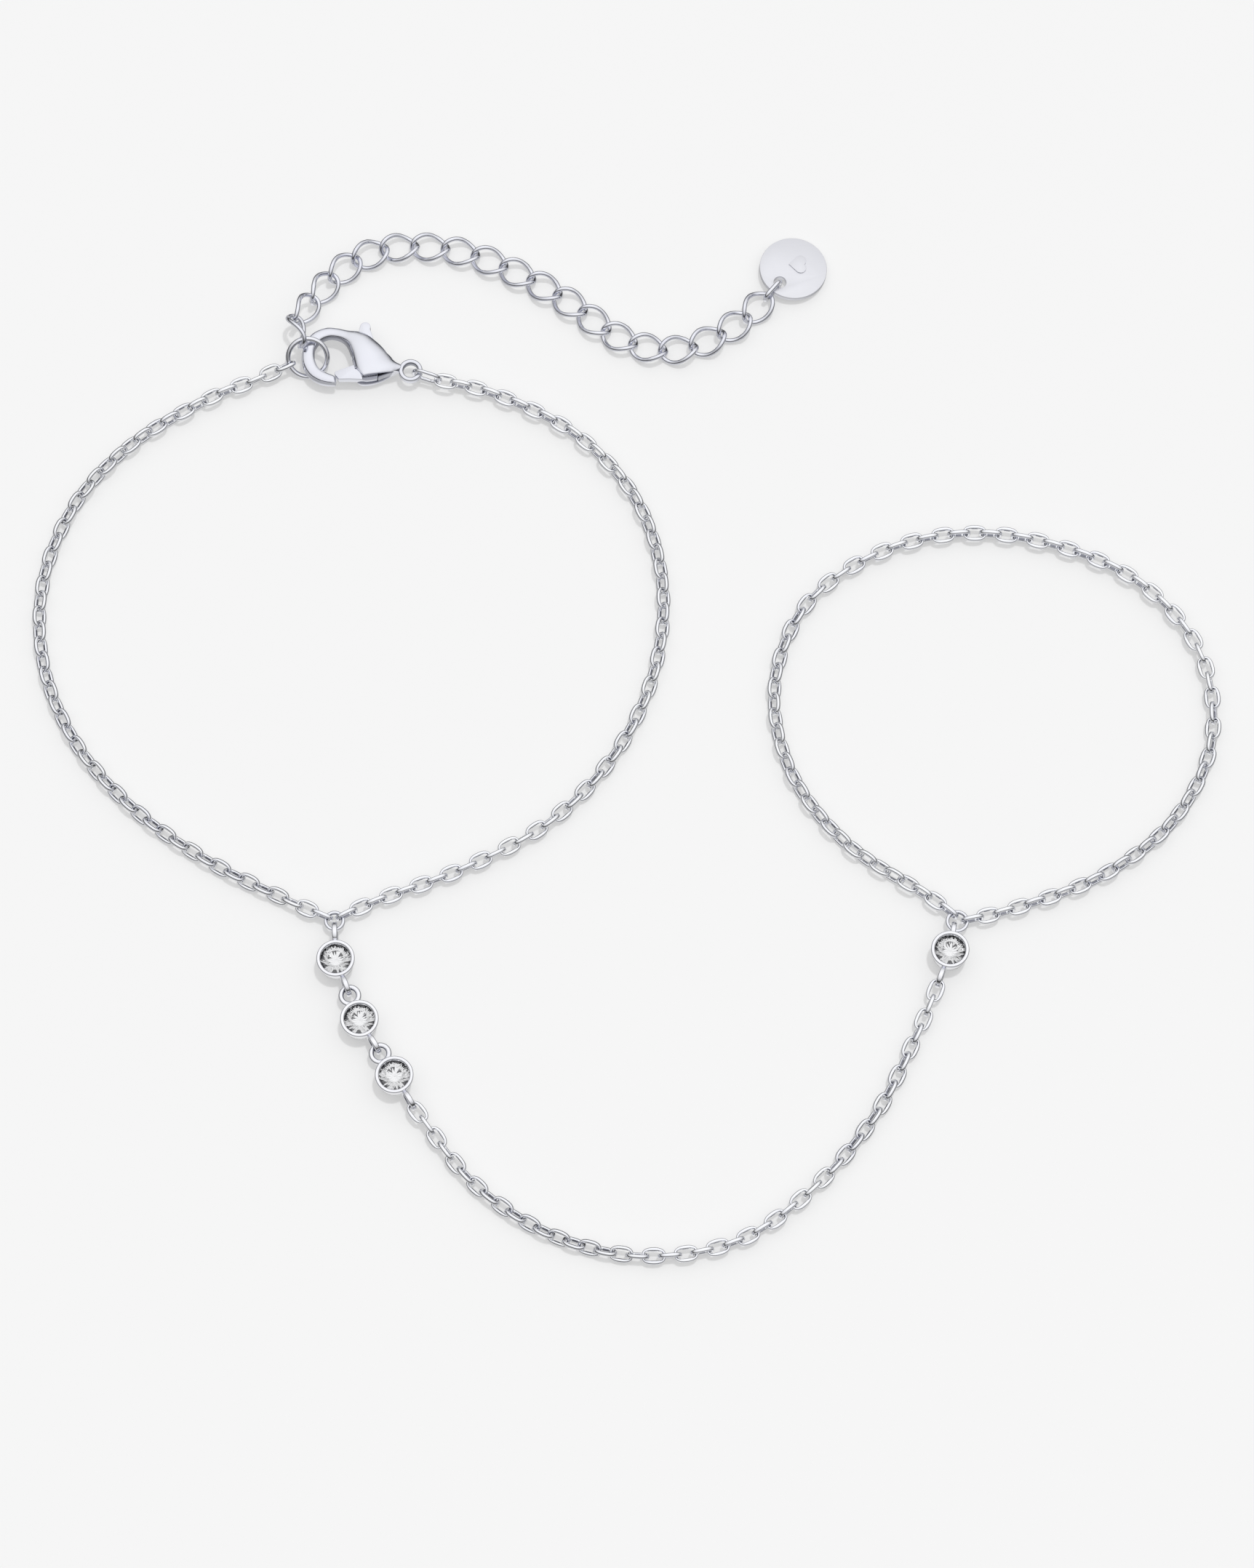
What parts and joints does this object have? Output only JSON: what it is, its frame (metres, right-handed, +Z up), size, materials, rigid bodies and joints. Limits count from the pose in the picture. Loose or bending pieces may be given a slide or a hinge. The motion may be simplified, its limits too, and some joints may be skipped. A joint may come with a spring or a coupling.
{
  "type": "hand chain",
  "caption": "Hand chain: fine cable-chain wrist and finger loops joined by round bezel-set stones and a swag of chain, with a lobster clasp and an extender that ends in a round tag.",
  "frame": {"origin": "on the table, under the middle of the part's box", "axes": "+Z up from the table on which the chain lies, +X from the wrist loop to the finger loop, +Y towards the clasp and extender"},
  "size_m": [0.1027, 0.0934, 0.0035],
  "materials": {
    "chain_silver": "polished rhodium-plated silver",
    "extender_silver": "polished rhodium-plated silver",
    "fitting_silver": "polished rhodium-plated silver",
    "clasp_silver": "polished cast silver, rhodium-plated",
    "setting_silver": "polished rhodium-plated silver",
    "tag_silver": "satin rhodium-plated silver",
    "clear_stone": "clear round brilliant cut"
  },
  "bodies": {
    "hand_chain": {"wrist_chain_left": "chain_silver", "wrist_chain_right": "chain_silver", "finger_chain": "chain_silver", "connector_chain": "chain_silver", "extender_chain": "extender_silver", "jump_ring": "fitting_silver", "clasp_body": "clasp_silver", "clasp_link": "fitting_silver", "wrist_junction_ring": "fitting_silver", "finger_junction_ring": "fitting_silver", "setting_1": "setting_silver", "setting_2": "setting_silver", "setting_3": "setting_silver", "setting_4": "setting_silver", "stone_1": "clear_stone", "stone_2": "clear_stone", "stone_3": "clear_stone", "stone_4": "clear_stone", "tag_link": "fitting_silver", "tag_disc": "tag_silver"},
    "lever": {"clasp_lever": "clasp_silver"}
  },
  "joints": [
    {"name": "lever_hinge", "type": "hinge", "parent": "hand_chain", "child": "lever", "pos_m": [-0.02253, 0.03347, 0.00125], "axis": [0, 0, -1], "range_deg": [0, 20], "stiffness_Nm_per_rad": 0.001}
  ]
}
